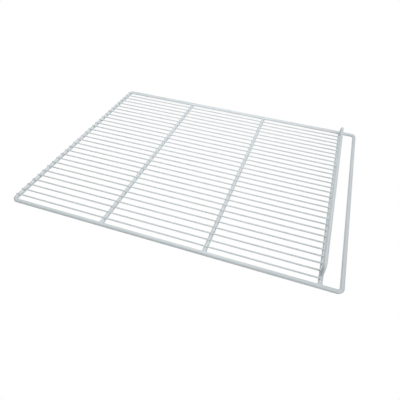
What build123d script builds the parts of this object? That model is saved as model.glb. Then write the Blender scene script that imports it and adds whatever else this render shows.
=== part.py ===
from build123d import *
import os

# Refrigerator shelf of plastic-coated steel wire, in millimetres.
# A flat loop of heavy wire carries three cross wires, a deck of thin wires lies over them,
# and a raised rail at the rear keeps goods off the back wall of the cabinet.
# X runs from front to rear, Y from side to side and Z up.
# The origin is on the surface that the shelf lies on, under the middle of the frame.

# Driving dimensions

overall_length = 650.0        # outside of the frame, front to rear
overall_width = 530.0         # outside of the frame, side to side
frame_wire_diameter = 8.0
frame_inside_bend = 5.0       # inside radius of the four corners

cross_wire_diameter = 8.0
cross_end_grip = 2.0          # how far the shaped ends reach round the frame wire
front_cross_wire_from_front = 200.0    # frame's front edge to the wire's centre line
middle_cross_wire_from_front = 406.0
rear_cross_wire_from_rear = 40.0       # frame's rear edge to the wire's centre line

deck_wire_diameter = 3.0
deck_wire_count = 30
deck_edge_gap = 13.5          # centre of a long side to the centre of the nearest deck wire
deck_front_overhang = 2.5     # past the centre line of the frame's front side
deck_rear_overhang = 1.0      # past the centre line of the rear cross wire
deck_end_rounding = 0.7       # the coat rounds off the cut ends
weld_set_down = 0.4           # how far a deck wire is pressed on to what carries it

rail_wire_diameter = 7.0
rail_top_height = 36.0        # above the surface that the shelf lies on
rail_inside_bend = 5.0

# Levels and places that follow from them

frame_level = frame_wire_diameter / 2
cross_level = frame_wire_diameter - cross_wire_diameter / 2      # tops flush with the frame's top
deck_level = frame_wire_diameter + deck_wire_diameter / 2 - weld_set_down
rail_level = rail_top_height - rail_wire_diameter / 2

side_length = overall_length - frame_wire_diameter               # between centre lines
side_width = overall_width - frame_wire_diameter
front_x = -side_length / 2
side_y = side_width / 2

front_cross_x = front_cross_wire_from_front - overall_length / 2
middle_cross_x = middle_cross_wire_from_front - overall_length / 2
rear_cross_x = overall_length / 2 - rear_cross_wire_from_rear

first_deck_y = deck_edge_gap - side_y
deck_pitch = -2 * first_deck_y / (deck_wire_count - 1)
rail_leg_y = -first_deck_y - deck_pitch / 2                      # midway between two deck wires


def wire_along(path, diameter):
    """Round wire bent along a path of straight runs and tangent arcs."""
    section = Plane(path @ 0, z_dir=path % 0) * Circle(diameter / 2)
    return sweep(section, path=path)


def frame_wire():
    """One loop with four rounded corners."""
    bend = frame_inside_bend + frame_wire_diameter / 2
    loop = RectangleRounded(side_length, side_width, bend).wire()
    return wire_along(Pos(0, 0, frame_level) * loop, frame_wire_diameter)


def cross_wire(x, frame):
    """Straight wire from long side to long side, with ends shaped to the frame wire."""
    length = side_width - frame_wire_diameter + 2 * cross_end_grip
    bar = Location((x, 0, cross_level), (90, 0, 0)) * Cylinder(cross_wire_diameter / 2, length)
    return bar - frame


def deck_wire(carriers):
    """Straight wire along the middle, from the frame's front side to the rear cross wire.

    It has a seat for each wire that it crosses.
    """
    front_end = front_x - deck_front_overhang
    rear_end = rear_cross_x + deck_rear_overhang
    middle = ((front_end + rear_end) / 2, 0, deck_level)
    bar = Location(middle, (0, 90, 0)) * Cylinder(deck_wire_diameter / 2, rear_end - front_end)
    bar = fillet(bar.edges().filter_by(GeomType.CIRCLE), deck_end_rounding)
    for carrier in carriers:
        bar = bar - carrier
    return bar


def stop_rail(rear_cross):
    """Staple that stands on the rear cross wire, with its feet shaped to that wire."""
    corners = [
        (rear_cross_x, -rail_leg_y, cross_level),
        (rear_cross_x, -rail_leg_y, rail_level),
        (rear_cross_x, rail_leg_y, rail_level),
        (rear_cross_x, rail_leg_y, cross_level),
    ]
    bend = rail_inside_bend + rail_wire_diameter / 2
    return wire_along(FilletPolyline(*corners, radius=bend).wire(), rail_wire_diameter) - rear_cross


def shelf_pieces():
    """Every piece by name, each a separate solid."""
    frame = frame_wire()
    front_cross = cross_wire(front_cross_x, frame)
    middle_cross = cross_wire(middle_cross_x, frame)
    rear_cross = cross_wire(rear_cross_x, frame)
    pieces = {
        "frame_wire": frame,
        "cross_wire_front": front_cross,
        "cross_wire_middle": middle_cross,
        "cross_wire_rear": rear_cross,
        "stop_rail": stop_rail(rear_cross),
    }
    middle_wire = deck_wire((frame, front_cross, middle_cross, rear_cross))
    for number in range(deck_wire_count):
        y = first_deck_y + number * deck_pitch
        pieces[f"deck_wire_{number + 1:02d}"] = Pos(0, y, 0) * middle_wire
    return pieces


os.makedirs("parts", exist_ok=True)
for name, piece in shelf_pieces().items():
    export_step(piece, f"parts/{name}.step")
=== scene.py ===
import math

import bpy
import numpy as np
from mathutils import Matrix, Vector


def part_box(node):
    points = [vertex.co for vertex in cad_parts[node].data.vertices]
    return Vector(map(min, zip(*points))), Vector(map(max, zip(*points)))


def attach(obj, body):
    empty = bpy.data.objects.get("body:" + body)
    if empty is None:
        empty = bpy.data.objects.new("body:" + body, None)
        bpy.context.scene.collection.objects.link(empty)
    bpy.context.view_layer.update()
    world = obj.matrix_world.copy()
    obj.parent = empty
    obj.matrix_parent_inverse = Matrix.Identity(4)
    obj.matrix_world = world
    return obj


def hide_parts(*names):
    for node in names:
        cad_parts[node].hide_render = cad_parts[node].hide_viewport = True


# Refrigerator shelf of steel wire under one skin of plastic coat, in metres.
# Every wire is a finely divided tube at the place and size of its solid.
# Where two wires are welded, the coat runs between them in a smooth fillet.
# X runs from front to rear, Y from side to side and Z up.

mm = 0.001
X, Y, Z = 0, 1, 2
quarter_turn = math.pi / 2
pure_white = (1, 1, 1, 1)
pure_black = (0, 0, 0, 1)

# Shape of the coat and of the bends
deck_fillet = 1.7 * mm  # reach of the coat's fillet where a deck wire crosses a carrier
joint_fillet = 3.2 * mm  # where a cross wire ends on the frame
foot_fillet = 2.6 * mm  # where a leg of the rail stands on its cross wire
deck_end_rounding = 1.2 * mm  # the coat draws the cut ends of the deck wires round
cross_end_rounding = 1.0 * mm
run_on = 0.8  # cosine between two surfaces at which one counts as running on into the other
frame_inside_bend = 5.0 * mm
rail_inside_bend = 5.0 * mm
rail_foot_depth = 4.5 * mm  # how far a leg's tube runs on inside the cross wire
# The cross wires' skin stays this far above the frame's lowest line, so that no two skins coincide
skin_step = 0.02 * mm

# Look of the coat
coat_tone_low = (0.567, 0.615, 0.634)
coat_tone_high = (0.597, 0.641, 0.658)
tone_patch = 45 * mm  # size of the shifts of tone
tone_stops = (0.35, 0.65)  # noise values at which the low and the high tone are reached
coat_refraction = 1.5
coat_roughness = 0.36
roughness_spread = 0.06
gloss_patch = 8 * mm  # size of the shifts of roughness
patch_detail = 3
wave_size = 9 * mm  # slow waves in the coat
wave_detail = 1
wave_height = 0.12 * mm
wave_strength = 0.5
peel_size = 1.1 * mm  # fine orange peel on top of the waves
peel_detail = 2
peel_height = 0.03 * mm
peel_strength = 0.35

# Light: the sky's glows (direction, how narrow, brightness), and a soft box over the shelf's middle
sky_glows = {
    "below": ((0, 0, -1), 1.0, 1.0),
    "far": ((0, 1, 0), 1.0, 0.40),
    "front_above": ((-1, 0, 1), 6.0, 0.84),
    "rear_near_above": ((1, -1, 1), 6.0, 2.92),
}
box_place = (-0.05, 0.10, 0.70)
box_aim = (-0.03, 0.06, 0.0)
box_size = 0.5
box_watts = 3.23
floor_half = 6.0  # the white floor reaches this far each way

# Camera
camera_place = (0.2060, -0.6972, 0.5253)
camera_aim = (0.0273, -0.1222, 0.0)
camera_roll = math.radians(2.64)
camera_lens = 34.66  # focal length, in millimetres like the sensor's width
sensor_width = 36

# Fineness of the tubes
heavy_sides = 40  # flats around the frame and cross wires
rail_sides = 36
deck_sides = 20
bend_steps = 16  # rings in a right-angle bend
end_steps = 6  # rings in a rounded end
fine_step = 0.5 * mm  # ring spacing where wires meet
coarse_step = 20.0 * mm  # ring spacing elsewhere
least_step = 0.6 * fine_step  # a ring nearer than this to the one before is left out
slope_step = 0.01 * mm  # offset over which a slope is measured
smallest_slope = 1e-12  # keeps a slope of zero from dividing by zero
settling_rounds = 14  # rounds in which the skin settles on the coat's surface

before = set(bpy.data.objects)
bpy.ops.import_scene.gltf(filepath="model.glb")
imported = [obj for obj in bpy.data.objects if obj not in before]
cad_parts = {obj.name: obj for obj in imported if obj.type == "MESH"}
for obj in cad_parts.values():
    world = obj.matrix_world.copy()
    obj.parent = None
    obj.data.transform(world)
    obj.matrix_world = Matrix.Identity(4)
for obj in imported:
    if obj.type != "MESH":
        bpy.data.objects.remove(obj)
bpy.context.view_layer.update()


# Places and sizes of the wires, from the frame

def node_box(node):
    """Lowest and highest corner of a node as arrays."""
    low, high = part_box(node)
    return np.array(low), np.array(high)


def middle_of(node):
    """Middle of a node's box."""
    low, high = node_box(node)
    return (low + high) / 2


deck_nodes = sorted(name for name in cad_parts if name.startswith("deck_wire_"))
cross_nodes = ["cross_wire_front", "cross_wire_middle", "cross_wire_rear"]

frame_low, frame_high = node_box("frame_wire")
frame_radius = (frame_high[Z] - frame_low[Z]) / 2
frame_z = (frame_high[Z] + frame_low[Z]) / 2
frame_half_x = (frame_high[X] - frame_low[X]) / 2 - frame_radius
frame_half_y = (frame_high[Y] - frame_low[Y]) / 2 - frame_radius
frame_bend = frame_inside_bend + frame_radius

cross_low, cross_high = node_box(cross_nodes[0])
cross_radius = (cross_high[Z] - cross_low[Z]) / 2
cross_z = (cross_high[Z] + cross_low[Z]) / 2
cross_end_y = cross_high[Y]
cross_xs = [middle_of(name)[X] for name in cross_nodes]
rear_cross_x = cross_xs[-1]

deck_low, deck_high = node_box(deck_nodes[0])
deck_radius = (deck_high[Z] - deck_low[Z]) / 2
deck_z = (deck_high[Z] + deck_low[Z]) / 2
deck_front_x = deck_low[X]
deck_rear_x = deck_high[X]
deck_ys = [middle_of(name)[Y] for name in deck_nodes]
first_deck_y = deck_ys[0]
deck_pitch = (deck_ys[-1] - deck_ys[0]) / (len(deck_ys) - 1)

rail_low, rail_high = node_box("stop_rail")
rail_radius = (rail_high[X] - rail_low[X]) / 2
rail_x = (rail_high[X] + rail_low[X]) / 2
rail_z = rail_high[Z] - rail_radius
rail_leg_y = rail_high[Y] - rail_radius
rail_bend = rail_inside_bend + rail_radius
rail_foot_z = cross_z + cross_radius - rail_foot_depth


# Distance from a point to the surface of each kind of wire

def bar_distance(points, along, centre, radius, low, high, rounding):
    """Distance to a straight round bar along one axis, with rounded ends."""
    first, second = [axis for axis in (X, Y, Z) if axis != along]
    off_axis = np.hypot(points[:, first] - centre[first], points[:, second] - centre[second])
    side = off_axis - (radius - rounding)
    end = np.maximum(low - points[:, along], points[:, along] - high) + rounding
    outside = np.hypot(np.maximum(side, 0), np.maximum(end, 0))
    inside = np.minimum(np.maximum(side, end), 0)
    return outside + inside - rounding


def rounded_corner(u, v, bend):
    """Signed distance in a plane to the lines u = 0 and v = 0, with the corner between them rounded.
    Inside the outline it is negative, as u and v are."""
    outside = np.hypot(np.maximum(u + bend, 0), np.maximum(v + bend, 0))
    inside = np.minimum(np.maximum(u + bend, v + bend), 0)
    return outside + inside - bend


def frame_distance(points):
    """Distance to the frame's loop."""
    past_x = abs(points[:, X]) - frame_half_x
    past_y = abs(points[:, Y]) - frame_half_y
    off_line = rounded_corner(past_x, past_y, frame_bend)
    return np.hypot(off_line, points[:, Z] - frame_z) - frame_radius


def rail_distance(points):
    """Distance to the rail, whose legs end inside the cross wire."""
    off_line = rounded_corner(abs(points[:, Y]) - rail_leg_y, points[:, Z] - rail_z, rail_bend)
    side = np.hypot(off_line, points[:, X] - rail_x) - rail_radius
    return np.maximum(side, rail_foot_z - points[:, Z])


def cross_distance(points):
    """Distance to the nearest cross wire."""
    def distance_at(x):
        centre = (x, 0, cross_z)
        return bar_distance(points, Y, centre, cross_radius, -cross_end_y, cross_end_y, cross_end_rounding)

    return np.min([distance_at(x) for x in cross_xs], axis=0)


def deck_distance(points):
    """Distance to the nearest deck wire."""
    row = np.round((points[:, Y] - first_deck_y) / deck_pitch)
    row = np.clip(row, 0, len(deck_ys) - 1)
    moved = points.copy()
    moved[:, Y] -= first_deck_y + row * deck_pitch
    centre = (0, 0, deck_z)
    return bar_distance(moved, X, centre, deck_radius, deck_front_x, deck_rear_x, deck_end_rounding)


# The coat

def slope(function, points):
    """Unit gradient of a field."""
    gradient = np.zeros_like(points)
    for axis in (X, Y, Z):
        offset = np.zeros(3)
        offset[axis] = slope_step
        gradient[:, axis] = function(points + offset) - function(points - offset)
    length = np.linalg.norm(gradient, axis=1, keepdims=True)
    return gradient / np.maximum(length, smallest_slope)


def coated(points, own, neighbours, deepest=-np.inf):
    """Field that is zero on the coat's skin: the wire itself, with a fillet towards each neighbour.
    neighbours is a list of (distance function, reach of the fillet). The coat fills a corner
    between two surfaces, and adds nothing where one surface runs on into the other.
    Inside a neighbour its distance counts down to deepest."""
    field = own(points)
    for distance, reach in neighbours:
        other = np.maximum(distance(points), deepest)
        overlap = np.maximum(reach - abs(field - other), 0)
        near = overlap > 0
        facing = np.sum(slope(own, points[near]) * slope(distance, points[near]), axis=1)
        corner = np.clip(1 - facing / run_on, 0, 1)
        field = np.minimum(field, other)
        field[near] -= corner * overlap[near] ** 2 / (4 * reach)
    return field


def draw_out(points, own, neighbours, lowest=0.0):
    """Moves points of a bare wire out to the skin of the coat, which goes no lower than lowest,
    and returns them with the skin's normals."""
    outward = slope(own, points)
    rise = np.zeros(len(points))
    # A fillet rises by a quarter of its reach at most, and fades out half its reach inside a neighbour
    limit = np.full(len(points), max(reach for _, reach in neighbours) / 4)
    for distance, reach in neighbours:
        limit *= np.clip(1 + 2 * distance(points) / reach, 0, 1)
    for _ in range(settling_rounds):
        field = coated(points + outward * rise[:, None], own, neighbours, 0)
        rise = np.clip(rise - field, 0, limit)
    points = points + outward * rise[:, None]
    normals = slope(lambda p: coated(p, own, neighbours), points)
    points[:, Z] = np.maximum(points[:, Z], lowest)
    return points, normals


# Tubes

def stations(low, high, meets, zone):
    """Places along a straight run: fine within zone of each place in meets, coarse elsewhere."""
    count = max(2, int(round((high - low) / coarse_step)) + 1)
    places = list(np.linspace(low, high, count))
    reach = int(math.ceil(zone / fine_step))
    for middle in meets:
        places += [middle + i * fine_step for i in range(-reach, reach + 1)]
    places = sorted(p for p in places if low <= p <= high)
    kept = [places[0]]
    for place in places[1:-1]:
        if place - kept[-1] > least_step and high - place > least_step:
            kept.append(place)
    return np.array(kept + [high])


def bar_rings(low, high, meets, zone, radius, rounding):
    """Places and radii of the rings of a straight bar with rounded ends."""
    turn = np.linspace(0, quarter_turn, end_steps + 1)
    end_places = rounding * (1 - np.cos(turn))
    end_radii = radius - rounding + rounding * np.sin(turn)
    middle = stations(low + rounding, high - rounding, meets, zone)[1:-1]
    places = np.concatenate([low + end_places, middle, (high - end_places)[::-1]])
    radii = np.concatenate([end_radii, np.full(len(middle), radius), end_radii[::-1]])
    return places, radii


def ring_points(centres, first, second, radii, sides):
    """Vertices of all rings of a tube. The wire runs along first x second."""
    angle = (np.arange(sides) * 2 * math.pi / sides)[None, :, None]
    across = np.cos(angle) * first[:, None, :] + np.sin(angle) * second[:, None, :]
    return (centres[:, None, :] + radii[:, None, None] * across).reshape(-1, 3)


def tube_faces(rings, sides, closed):
    """Quads of a tube, with a fan of triangles on each end where it isn't a closed loop."""
    faces = []
    for ring in range(rings if closed else rings - 1):
        start = ring * sides
        after = (ring + 1) % rings * sides
        for side in range(sides):
            other = (side + 1) % sides
            faces.append((start + side, start + other, after + other, after + side))
    if not closed:
        first_pole = rings * sides
        last = (rings - 1) * sides
        for side in range(sides):
            other = (side + 1) % sides
            faces.append((first_pole, other, side))
            faces.append((first_pole + 1, last + side, last + other))
    return faces


def add_object(name, data):
    """A new object in the scene, which shows a mesh, a light or a camera."""
    added = bpy.data.objects.new(name, data)
    bpy.context.scene.collection.objects.link(added)
    return added


def make_piece(node, points, normals, faces):
    """One wire as a smooth mesh that stands for its node."""
    name = "coated_" + node
    mesh = bpy.data.meshes.new(name)
    mesh.from_pydata(points.tolist(), [], faces)
    mesh.validate()
    mesh.update()
    mesh.shade_smooth()
    mesh.normals_split_custom_set_from_vertices(normals.tolist())
    mesh.materials.append(coat)
    piece = add_object(name, mesh)
    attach(piece, "root")
    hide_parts(node)


def straight_wire(node, along, centre, places, radii, sides, own, neighbours, lowest=0.0):
    """A straight wire along X or Y, with rings of the given radii at the given places."""
    direction = np.eye(3)[along]
    upward = np.eye(3)[Z]
    sideways = np.cross(upward, direction)
    centres = np.array(centre) * (1 - direction) + places[:, None] * direction
    count = len(places)
    all_sideways = np.tile(sideways, (count, 1))
    all_upward = np.tile(upward, (count, 1))
    points = ring_points(centres, all_sideways, all_upward, radii, sides)
    points = np.vstack([points, centres[0], centres[-1]])
    points, normals = draw_out(points, own, neighbours, lowest)
    make_piece(node, points, normals, tube_faces(count, sides, False))


def deck_wires():
    """The deck's thin wires, which lie on the frame's front side and on the cross wires."""
    carriers = [-frame_half_x] + cross_xs
    zone = cross_radius + deck_fillet
    places, radii = bar_rings(deck_front_x, deck_rear_x, carriers, zone, deck_radius, deck_end_rounding)
    neighbours = [(frame_distance, deck_fillet), (cross_distance, deck_fillet)]
    for node, y in zip(deck_nodes, deck_ys):
        straight_wire(node, X, (0, y, deck_z), places, radii, deck_sides, deck_distance, neighbours)


def cross_wires():
    """The heavy wires from side to side. The rail stands on the rear one."""
    zone = deck_radius + deck_fillet
    for node, x in zip(cross_nodes, cross_xs):
        neighbours = [(deck_distance, deck_fillet), (frame_distance, joint_fillet)]
        meets = list(deck_ys)
        if x == rear_cross_x:
            neighbours.append((rail_distance, foot_fillet))
            meets += [-rail_leg_y, rail_leg_y]
        ends = [-cross_end_y, cross_end_y]
        places, radii = bar_rings(*ends, meets + ends, zone, cross_radius, cross_end_rounding)
        centre = (x, 0, cross_z)
        straight_wire(node, Y, centre, places, radii, heavy_sides, cross_distance, neighbours, skin_step)


def run_points(first, second):
    """Points in a plane along a straight run, of whose coordinates one is a single number."""
    return np.column_stack(np.broadcast_arrays(first, second))


def bend_points(centre, start, radius):
    """Points and outward directions along a quarter turn that starts at the angle start."""
    angle = start + np.linspace(0, quarter_turn, bend_steps + 1)[1:-1]
    outward = np.stack([np.cos(angle), np.sin(angle)], axis=1)
    return np.array(centre) + radius * outward, outward


def frame_loop():
    """The frame's closed loop, from its rear side round to the far, front and near sides."""
    run_x = frame_half_x - frame_bend
    run_y = frame_half_y - frame_bend
    deck_zone = deck_radius + deck_fillet
    joint_zone = cross_radius + joint_fillet
    rear = stations(-run_y, run_y, [], 0)
    sides = stations(-run_x, run_x, cross_xs, joint_zone)
    front = stations(-run_y, run_y, deck_ys, deck_zone)
    runs = []
    directions = []

    def straight(xs, ys, outward):
        points = run_points(xs, ys)
        runs.append(points)
        directions.append(np.tile(outward, (len(points), 1)))

    def bend(corner_x, corner_y, start):
        points, outward = bend_points((corner_x, corner_y), start, frame_bend)
        runs.append(points)
        directions.append(outward)

    straight(frame_half_x, rear, (1.0, 0.0))
    bend(run_x, run_y, 0)
    straight(sides[::-1], frame_half_y, (0.0, 1.0))
    bend(-run_x, run_y, quarter_turn)
    straight(-frame_half_x, front[::-1], (-1.0, 0.0))
    bend(-run_x, -run_y, 2 * quarter_turn)
    straight(sides, -frame_half_y, (0.0, -1.0))
    bend(run_x, -run_y, 3 * quarter_turn)
    line = np.vstack(runs)
    count = len(line)
    centres = np.column_stack([line, np.full(count, frame_z)])
    sideways = np.column_stack([np.vstack(directions), np.zeros(count)])
    downward = np.tile((0.0, 0.0, -1.0), (count, 1))
    points = ring_points(centres, sideways, downward, np.full(count, frame_radius), heavy_sides)
    neighbours = [(deck_distance, deck_fillet), (cross_distance, joint_fillet)]
    points, normals = draw_out(points, frame_distance, neighbours)
    make_piece("frame_wire", points, normals, tube_faces(count, heavy_sides, True))


def stop_rail():
    """The rail's staple, from the foot of one leg over to the foot of the other."""
    shoulder_z = rail_z - rail_bend
    run_y = rail_leg_y - rail_bend
    leg = stations(rail_foot_z, shoulder_z, [cross_z + cross_radius], rail_foot_depth + foot_fillet)
    top = stations(-run_y, run_y, [], 0)
    right_bend, right_out = bend_points((run_y, shoulder_z), 0, rail_bend)
    left_bend, left_out = bend_points((-run_y, shoulder_z), quarter_turn, rail_bend)
    line = np.vstack([
        run_points(rail_leg_y, leg),
        right_bend,
        run_points(top[::-1], rail_z),
        left_bend,
        run_points(-rail_leg_y, leg[::-1]),
    ])
    outward = np.vstack([
        np.tile((1.0, 0.0), (len(leg), 1)),
        right_out,
        np.tile((0.0, 1.0), (len(top), 1)),
        left_out,
        np.tile((-1.0, 0.0), (len(leg), 1)),
    ])
    count = len(line)
    centres = np.column_stack([np.full(count, rail_x), line])
    sideways = np.column_stack([np.zeros(count), outward])
    forward = np.tile((-1.0, 0.0, 0.0), (count, 1))
    points = ring_points(centres, sideways, forward, np.full(count, rail_radius), rail_sides)
    points = np.vstack([points, centres[0], centres[-1]])
    points, normals = draw_out(points, rail_distance, [(cross_distance, foot_fillet)])
    make_piece("stop_rail", points, normals, tube_faces(count, rail_sides, False))


# Materials

def coat_material():
    """Light cool grey plastic coat with a soft gloss, a faint orange peel and slight shifts of tone."""
    material = bpy.data.materials.new("plastic_coat")
    material.use_nodes = True
    nodes, links = material.node_tree.nodes, material.node_tree.links
    shader = nodes["Principled BSDF"]
    shader.inputs["IOR"].default_value = coat_refraction
    place = nodes.new("ShaderNodeTexCoord")

    def noise(size, detail):
        texture = nodes.new("ShaderNodeTexNoise")
        texture.inputs["Scale"].default_value = 1 / size
        texture.inputs["Detail"].default_value = detail
        links.new(place.outputs["Object"], texture.inputs["Vector"])
        return texture.outputs["Fac"]

    def bump(size, detail, height, strength):
        relief = nodes.new("ShaderNodeBump")
        relief.inputs["Strength"].default_value = strength
        relief.inputs["Distance"].default_value = height
        links.new(noise(size, detail), relief.inputs["Height"])
        return relief

    tones = nodes.new("ShaderNodeValToRGB")
    for stop, position, tone in zip(tones.color_ramp.elements, tone_stops, (coat_tone_low, coat_tone_high)):
        stop.position = position
        stop.color = (*tone, 1)
    links.new(noise(tone_patch, patch_detail), tones.inputs["Fac"])
    links.new(tones.outputs["Color"], shader.inputs["Base Color"])
    gloss = nodes.new("ShaderNodeMapRange")
    gloss.inputs["To Min"].default_value = coat_roughness - roughness_spread
    gloss.inputs["To Max"].default_value = coat_roughness + roughness_spread
    links.new(noise(gloss_patch, patch_detail), gloss.inputs["Value"])
    links.new(gloss.outputs["Result"], shader.inputs["Roughness"])
    waves = bump(wave_size, wave_detail, wave_height, wave_strength)
    peel = bump(peel_size, peel_detail, peel_height, peel_strength)
    links.new(waves.outputs["Normal"], peel.inputs["Normal"])
    links.new(peel.outputs["Normal"], shader.inputs["Normal"])
    return material


# Stage

def floor_stage():
    """A floor that shows an even white, and that neither takes shadows nor throws light back up."""
    mesh = bpy.data.meshes.new("floor")
    corners = [(x * floor_half, y * floor_half, 0) for x, y in ((-1, -1), (1, -1), (1, 1), (-1, 1))]
    mesh.from_pydata(corners, [], [(0, 1, 2, 3)])
    floor = add_object("floor", mesh)
    material = bpy.data.materials.new("floor")
    material.use_nodes = True
    shader = material.node_tree.nodes["Principled BSDF"]
    shader.inputs["Base Color"].default_value = pure_black
    shader.inputs["Roughness"].default_value = 1.0
    shader.inputs["Specular IOR Level"].default_value = 0.0
    shader.inputs["Emission Color"].default_value = pure_white
    shader.inputs["Emission Strength"].default_value = 1.0
    mesh.materials.append(material)
    floor.visible_diffuse = False
    floor.visible_glossy = False
    floor.visible_shadow = False


def sky():
    """Soft light from the sky's glows, one of them from below, as off a white table.
    The backdrop itself shows white."""
    world = bpy.data.worlds.new("studio")
    bpy.context.scene.world = world
    world.use_nodes = True
    nodes, links = world.node_tree.nodes, world.node_tree.links
    place = nodes.new("ShaderNodeTexCoord")

    def math_node(operation, value, other):
        """Works on a socket's value and a number or a second socket's value."""
        node = nodes.new("ShaderNodeMath")
        node.operation = operation
        links.new(value, node.inputs[0])
        if isinstance(other, float):
            node.inputs[1].default_value = other
        else:
            links.new(other, node.inputs[1])
        return node.outputs["Value"]

    strength = None
    for direction, narrowness, brightness in sky_glows.values():
        facing = nodes.new("ShaderNodeVectorMath")
        facing.operation = "DOT_PRODUCT"
        facing.inputs[1].default_value = Vector(direction).normalized()
        links.new(place.outputs["Generated"], facing.inputs[0])
        lit = math_node("MAXIMUM", facing.outputs["Value"], 0.0)
        glow = math_node("MULTIPLY", math_node("POWER", lit, narrowness), brightness)
        strength = glow if strength is None else math_node("ADD", glow, strength)
    light = nodes["Background"]
    light.inputs["Color"].default_value = pure_white
    links.new(strength, light.inputs["Strength"])
    backdrop = nodes.new("ShaderNodeBackground")
    backdrop.inputs["Color"].default_value = pure_white
    ray = nodes.new("ShaderNodeLightPath")
    choice = nodes.new("ShaderNodeMixShader")
    links.new(ray.outputs["Is Camera Ray"], choice.inputs["Fac"])
    links.new(light.outputs["Background"], choice.inputs[1])
    links.new(backdrop.outputs["Background"], choice.inputs[2])
    links.new(choice.outputs["Shader"], nodes["World Output"].inputs["Surface"])


def soft_box():
    """A square area light over the shelf."""
    data = bpy.data.lights.new("soft_box", "AREA")
    data.size = box_size
    data.energy = box_watts
    light = add_object("soft_box", data)
    light.location = box_place
    toward = Vector(box_aim) - Vector(box_place)
    light.rotation_euler = toward.to_track_quat("-Z", "Y").to_euler()
    light.visible_camera = False


def camera():
    """The photograph's point of view."""
    data = bpy.data.cameras.new("camera")
    data.sensor_width = sensor_width
    data.lens = camera_lens
    view = add_object("camera", data)
    toward = Vector(camera_aim) - Vector(camera_place)
    turn = toward.to_track_quat("-Z", "Y").to_matrix().to_4x4()
    view.matrix_world = Matrix.Translation(camera_place) @ turn @ Matrix.Rotation(camera_roll, 4, "Z")
    bpy.context.scene.camera = view


coat = coat_material()
frame_loop()
cross_wires()
deck_wires()
stop_rail()
floor_stage()
sky()
soft_box()
camera()
bpy.context.scene.view_settings.view_transform = "Standard"
